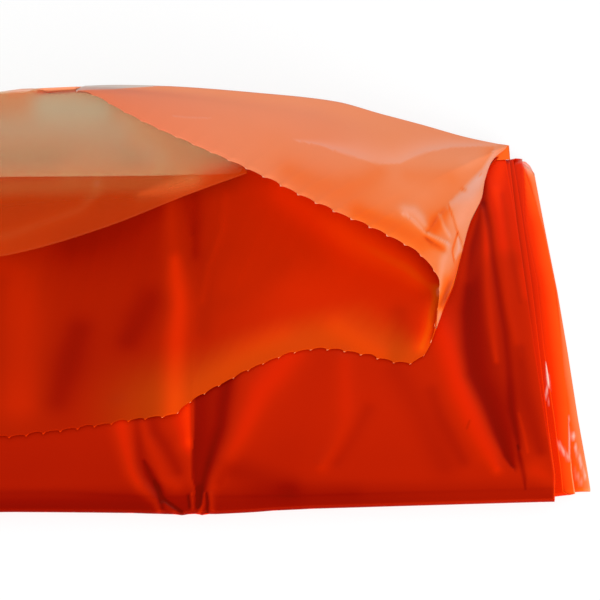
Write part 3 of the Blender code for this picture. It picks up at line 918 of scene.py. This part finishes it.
lipMarks = [
    # a band of sheen with a sharp lower side
    mark([(70, 112), (87, 110), (100, 107), (113, 104), (126, 102), (140, 105), (160, 119), (179, 128),
          (209, 136)],
         [1, 4, 8, 12, 13, 11, 9, 8, 5], tone=0.20, shape="left"),
    # the line that the fold below presses up, in shade on one side and lit on the other
    mark([(208, 130), (200, 116), (191, 104), (183, 93), (173, 80), (164, 67), (156, 53)],
         [5, 8, 11, 13, 13, 10, 5], tone=-0.14, lift=-0.7, shape="right"),
    mark([(208, 130), (200, 116), (191, 104), (183, 93), (173, 80)], [4, 7, 8, 8, 4], tone=0.20,
         shape="left"),
    mark([(198, 108), (195, 102), (189, 89), (182, 78), (178, 67)], [3, 5, 6, 6, 4], tone=0.12, lift=0.6),
    mark([(183.4, 93), (184.6, 93)], [1.5, 1.5], tone=-0.40),
    mark([(198, 110.5), (196.8, 108)], [0.5, 0.5], tone=-0.30),
    mark([(199.4, 101), (199, 97)], [0.5, 0.5], tone=-0.30),
    # small creases by the corner: real lift, with painted highlights and shade along them
    mark([(142, 67), (147, 67), (151, 63), (154, 58)], [4, 4.5, 4, 2.5], tone=0.28, lift=1.0),
    mark([(140, 64), (145, 61), (154, 52), (161, 50), (169, 48)], [1.2, 1.4, 1.4, 1.6, 1.2], tone=0.30,
         lift=0.7),
    mark([(155, 48.5), (159, 46), (166, 43)], [2, 3.2, 2.5], tone=-0.30, lift=-0.4),
    mark([(170, 72), (164, 62), (160, 56)], [3, 5, 4], tone=-0.28),
    mark([(165, 68), (167, 60), (171, 54)], [1.2, 1.5, 1.2], tone=0.28, lift=0.5),
    mark([(172, 77), (176, 62), (177, 59), (181, 50)], [0.7, 0.7, 0.7, 0.6], tone=-0.35, lift=-0.4),
    mark([(177, 59), (174, 50), (172, 44), (173, 37)], [0.7, 0.8, 0.8, 0.6], tone=-0.35, lift=-0.4),
    mark([(177, 55), (177.5, 48), (174, 40)], [0.8, 1.6, 0.8], tone=0.25, lift=0.4),
    mark([(170, 47), (168, 42), (165, 34), (163, 25), (161, 14)], [2, 2.5, 2.5, 2, 1.5], tone=0.20, lift=0.4),
    mark([(182, 47), (179, 42), (174, 30), (168, 17), (163, 6)], [2, 3, 3.4, 3.4, 3], tone=-0.48),
    # broad patches of painted light and shade; the last one is a painted sheen along the roll on the crest at
    # the left
    mark([(111, 61), (125, 56), (138, 52), (151, 45)], [8, 8, 9, 8], tone=-0.22),
    mark([(66, 88), (82, 80), (99, 77), (116, 86), (125, 95)], [9, 11, 12, 10, 8], tone=-0.10),
    mark([(146, 96), (160, 98), (174, 101)], [7, 9, 7], tone=-0.08),
    mark([(164, 62), (165, 46)], [7, 7], tone=-0.09),
    mark([(167, 22), (166, 10)], [4, 4], tone=-0.12),
    mark([(188, 115), (200, 122)], [6, 6], tone=0.08),
    mark([(-10, 126), (0, 125), (15, 125)], [0.5, 0.6, 0.4], tone=0.12, lift=0.15),
    mark([(-80, 148.6), (-72, 149.4), (-50, 149.6), (-32, 150.2), (-14, 151.6)], [2, 7, 8, 4, 0.8],
         tone=0.48, shape="left", sharp=5),
]
roll = {
    "radius": 0.0012,
    "thinEnds": ((0.8, 0.93, 1), (0.8, 0.025, 0)),    # how much thinner the roll is at its two ends
    # degrees by which the film rolls over on the crest and on the side fold, and where that changes
    "turnCrest": 100,
    "turnSide": 170,
    "turnZone": (0.62, 0.74),
    # film that goes on straight behind the roll
    "tailCrest": 0.011,
    "tailSide": 0.002,
    "tailZone": (0.35, 0.58),
    "step": 0.02,                      # on either side of a point, to find which way the edge goes
    # how deep the notches are: it grows from the crest's end, then shrinks again towards the side fold
    "notches": 0.40,
    "notchesGrow": (0.70, 0.3, 0.6),
    "notchesShrink": (-0.6, 0.72, 0.85),
    "notchSpan": (0.003, 0.010),       # no notches where the lip is narrower than this
    "rows": 14,
    "lipRows": 56,
    "lipRowSpread": [(0, 0), (0.93, 0.975), (1, 1)],
    "liftFrom": (0, 0.08),
    "towards": (0.090, 0.090, 0.060),  # the point that the lip leads to from the roll
    "belly": 0.006,
}
lipTone = {
    "base": 0.62,
    "edge": (-0.08, 0.4, 1.0),
    "right": (-0.12, 0.1, 1.0),
    "rightFrom": (0.02, 0.10),
    "marksEnd": (0.0012, 0.0026),    # the marks fade out on the roll
    # more of the haze behind shows through towards the left
    "thin": 0.07,
    "thinFrom": (0.15, 0.08),
    "thinRows": (0.04, 0.30),
    "thinner": ((0.5, 0.06, 0), (0.7, 0.02, -0.05)),
    "tip": 0.9,
    "tipSpan": 0.004,
    "tipEnd": (0.93, 0.90),
}
upperTips = round(upperEdge.length / mouth["upperPitch"])
upperBack = joinedCurves(reversedCurve(lipCrest), rimFold, mouth["crestShare"])


# u goes along the crest and the side fold, v from the tail over the roll and out to the torn edge
def upperLipPlace(u, v):
    rows = roll["rows"] + roll["lipRows"]
    row = v * rows
    inRoll = row < roll["rows"]
    start = upperBack(u)
    tangent = unit(upperBack(np.clip(u + roll["step"], 0, 1)) - upperBack(np.clip(u - roll["step"], 0, 1)))
    inward = np.array(roll["towards"]) - start
    inward = unit(inward - (inward * tangent).sum(1)[:, None] * tangent)
    up = unit(np.cross(tangent, inward))
    up = up * np.sign(up[:, 2])[:, None]
    ends = math.prod(1 - grow(part, u) for part in roll["thinEnds"])
    radius = (roll["radius"] * ends)[:, None]
    crestTurn = math.radians(roll["turnCrest"])
    lastTurn = crestTurn + (math.radians(roll["turnSide"]) - crestTurn) * ease(*roll["turnZone"], u)
    tail = roll["tailCrest"] + (roll["tailSide"] - roll["tailCrest"]) * ease(*roll["tailZone"], u)
    beginning = start + inward * radius
    centre = beginning - up * radius
    share = 1 - np.clip(row / roll["rows"], 0, 1)
    arcLength = radius[:, 0] * lastTurn
    along = share * (arcLength + tail * ends)
    turn = np.minimum(along / radius[:, 0], lastTurn)
    extra = np.maximum(along - arcLength, 0)
    heading = -inward * np.cos(turn)[:, None] - up * np.sin(turn)[:, None]
    rolled = centre + radius * (up * np.cos(turn)[:, None] - inward * np.sin(turn)[:, None])
    rolled = rolled + heading * extra[:, None]
    out = np.clip((row - roll["rows"]) / roll["lipRows"], 0, 1)
    end = upperEdge(u)
    back, spike = tornBack(u, upperTips)
    span = np.linalg.norm(end - beginning, axis=1)
    depth = roll["notches"] + grow(roll["notchesGrow"], u) + grow(roll["notchesShrink"], u)
    end = end - unit(end - beginning) * (back * depth * ease(*roll["notchSpan"], span))[:, None]
    lip = between(beginning, end, np.interp(out, *np.transpose(roll["lipRowSpread"])))
    lip[:, 2] += roll["belly"] * np.sin(math.pi * out) * np.sin(math.pi * u)
    spots = np.where(inRoll[:, None], rolled, lip)
    x, y = spots[:, 0], spots[:, 1]
    lift = strokes(lipMarks, x, y, "lift") / 1000
    spots[:, 2] += np.where(inRoll, 0, lift) * ease(*roll["liftFrom"], out)
    tone = lipTone["base"] + grow(lipTone["edge"], out)
    tone = tone + grow(lipTone["right"], out) * ease(*lipTone["rightFrom"], x)
    tone = tone + strokes(lipMarks, x, y, "tone") * (1 - ease(*lipTone["marksEnd"], along))
    tips = (out > mouth["endRow"]) * (span > lipTone["tipSpan"])
    pale = lipTone["tip"] * spike * tips * ease(*lipTone["tipEnd"], u)
    thin = ease(*lipTone["thinFrom"], x) * ease(*lipTone["thinRows"], out)
    thin = thin * (1 + sum(grow(part, x) for part in lipTone["thinner"]))
    return spots, {"tone": tone + lipTone["thin"] * thin, "pale": pale, "dense": -thin}


upperLip = layFilm("mouth_upper_lip_film", upperTips * mouth["perTip"], roll["rows"] + roll["lipRows"],
                   upperLipPlace, singleFilm, mouth["lipWall"])
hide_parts("mouth_upper_lip")
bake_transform(upperLip)
print("survival bag: mouth draped")


# floor, camera and light

studio = {
    "floor": 3,            # half of the floor's side in metres
    "paper": "#f2f2f2",
    "glow": 1.05,          # the ground as the camera sees it, nearly white
    "glowShare": 0.75,     # the rest is lit paper, which keeps the object's shadow
    "fill": 0.62,          # light of the room from all sides
    "lamps": {
        "key": {"at": (0.28, -1.1, 1.40), "size": 1.2, "watts": 13},
        "low": {"at": (0.5, -1.45, 0.60), "size": 1.0, "watts": 12, "mirrored": False},
        "window": {"at": (0.3, 1.5, 1.0), "size": 1.2, "watts": 5},
    },
}

floorMesh = bpy.data.meshes.new("white ground")
bm = bmesh.new()
bmesh.ops.create_grid(bm, x_segments=1, y_segments=1, size=studio["floor"])
bm.to_mesh(floorMesh)
bm.free()
floor = newObject("white_ground", floorMesh)
ground = bpy.data.materials.new("white paper ground")
tree = emptyTree(ground)
paper = addNode(tree, "BsdfDiffuse", {"Color": linear(studio["paper"])})
glow = addNode(tree, "Emission", {"Strength": studio["glow"]})
path = addNode(tree, "LightPath")
seen = addNode(tree, "Math", None,
               {0: path.outputs["Is Camera Ray"], 1: path.outputs["Is Glossy Ray"]}, operation="MAXIMUM")
seenThrough = addNode(tree, "Math", None,
                      {0: seen.outputs[0], 1: path.outputs["Is Transmission Ray"]}, operation="MAXIMUM")
share = addNode(tree, "Math", {1: studio["glowShare"]}, {0: seenThrough.outputs[0]},
                operation="MULTIPLY")
mixed = addNode(tree, "MixShader", None,
                {0: share.outputs[0], 1: paper.outputs[0], 2: glow.outputs[0]})
addNode(tree, "OutputMaterial", None, {"Surface": mixed.outputs[0]})
floorMesh.materials.append(ground)

view = {
    "eye": (0.04202, -0.49165, 0.93829),
    "down": 61.0,          # degrees below level
    "roll": -1.22,
    "lens": 95.43,
    "sensor": 36,
    "shiftX": 0.0729,
}
down = math.radians(view["down"])
tilt = math.radians(view["roll"])
ahead = Vector((0, math.cos(down), -math.sin(down)))
across = Vector((1, 0, 0))
upward = across.cross(ahead)
right = across * math.cos(tilt) + upward * math.sin(tilt)
upright = upward * math.cos(tilt) - across * math.sin(tilt)
lens = bpy.data.cameras.new("camera")
lens.sensor_width = view["sensor"]
lens.lens = view["lens"]
lens.shift_x = view["shiftX"]
camera = newObject("camera", lens)
turned = Matrix((right, upright, -ahead)).transposed().to_4x4()
camera.matrix_world = Matrix.Translation(view["eye"]) @ turned
bpy.context.scene.camera = camera

for name, lamp in studio["lamps"].items():
    light = bpy.data.lights.new(name, "AREA")
    light.shape = "SQUARE"
    light.size = lamp["size"]
    light.energy = lamp["watts"]
    holder = newObject(name, light)
    holder.visible_glossy = lamp.get("mirrored", True)
    facing = Vector(lamp["at"]).to_track_quat("Z", "Y").to_matrix().to_4x4()
    holder.matrix_world = Matrix.Translation(lamp["at"]) @ facing

world = bpy.data.worlds.new("soft room")
bpy.context.scene.world = world
tree = emptyTree(world)
fill = addNode(tree, "Background", {"Color": linear("#ffffff"), "Strength": studio["fill"]})
white = addNode(tree, "Background", {"Color": linear("#ffffff"), "Strength": 1.0})
path = addNode(tree, "LightPath")
mixed = addNode(tree, "MixShader", None,
                {0: path.outputs["Is Camera Ray"], 1: fill.outputs[0], 2: white.outputs[0]})
addNode(tree, "OutputWorld", None, {"Surface": mixed.outputs[0]})
bpy.context.scene.view_settings.view_transform = "Standard"

bpy.context.view_layer.update()
print("survival bag: ready")
